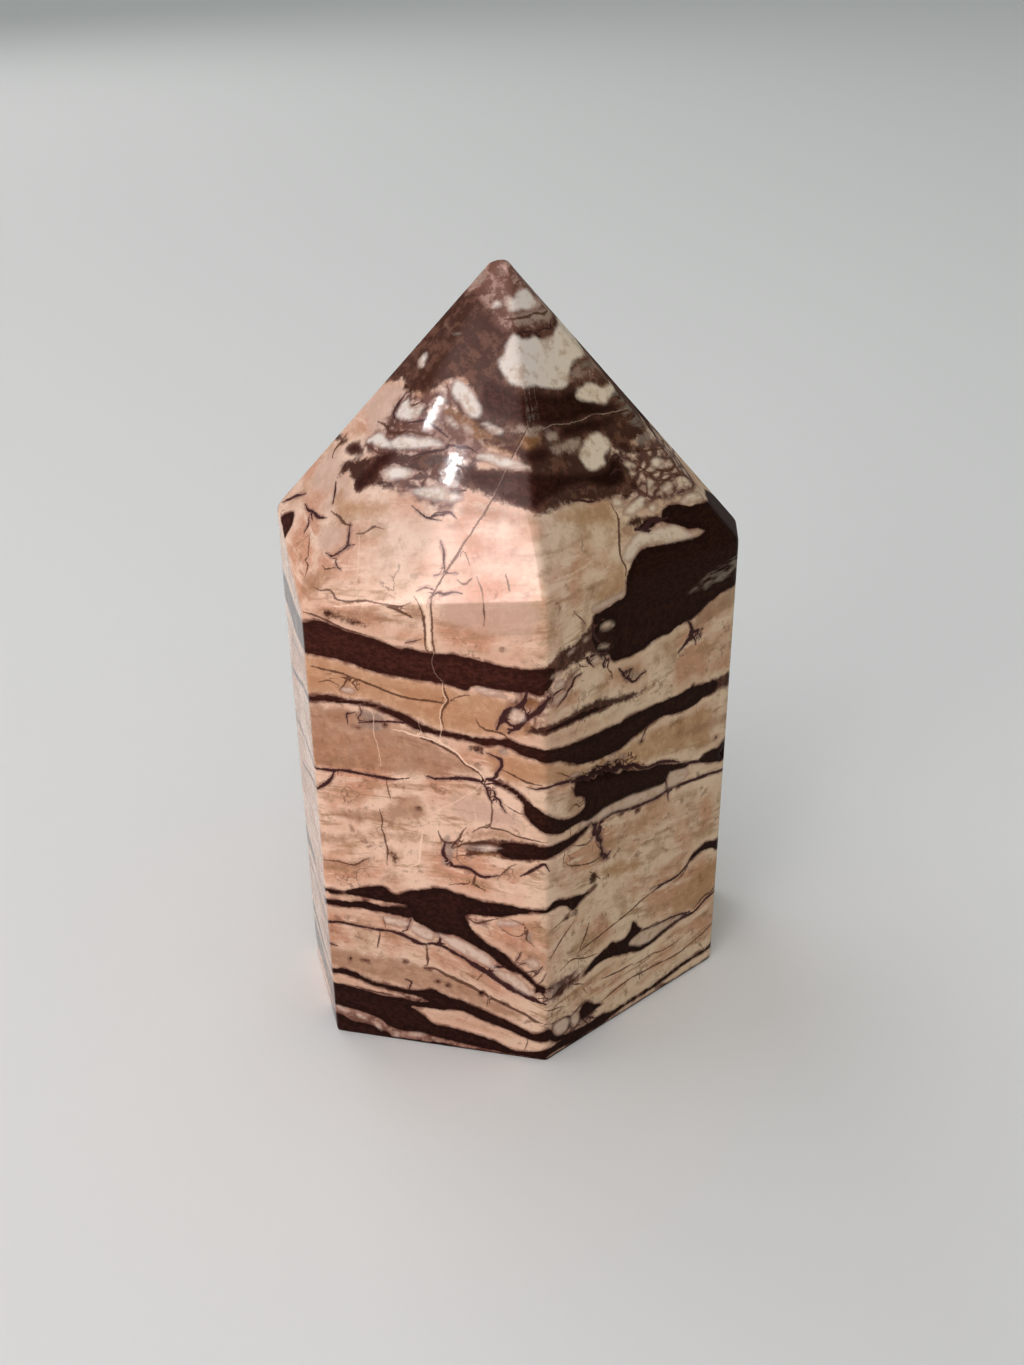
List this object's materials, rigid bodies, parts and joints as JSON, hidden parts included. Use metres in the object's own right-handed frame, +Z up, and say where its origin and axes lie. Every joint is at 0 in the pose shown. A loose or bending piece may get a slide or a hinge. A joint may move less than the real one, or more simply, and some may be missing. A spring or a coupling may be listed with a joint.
{
  "type": "zebra jasper tower",
  "caption": "Polished jasper stone cut as a short upright tower with flat sides and a faceted point, banded dark brown and cream.",
  "frame": {"origin": "centre of the base, at the middle of the stone's box, on the surface that it stands on", "axes": "+Z up towards the point, -Y towards the front edge, +X to the right of the front"},
  "size_m": [0.0568, 0.0464, 0.095],
  "materials": {
    "zebra_jasper": "polished"
  },
  "bodies": {
    "root": {"jasper_tower": "zebra_jasper"}
  },
  "joints": []
}
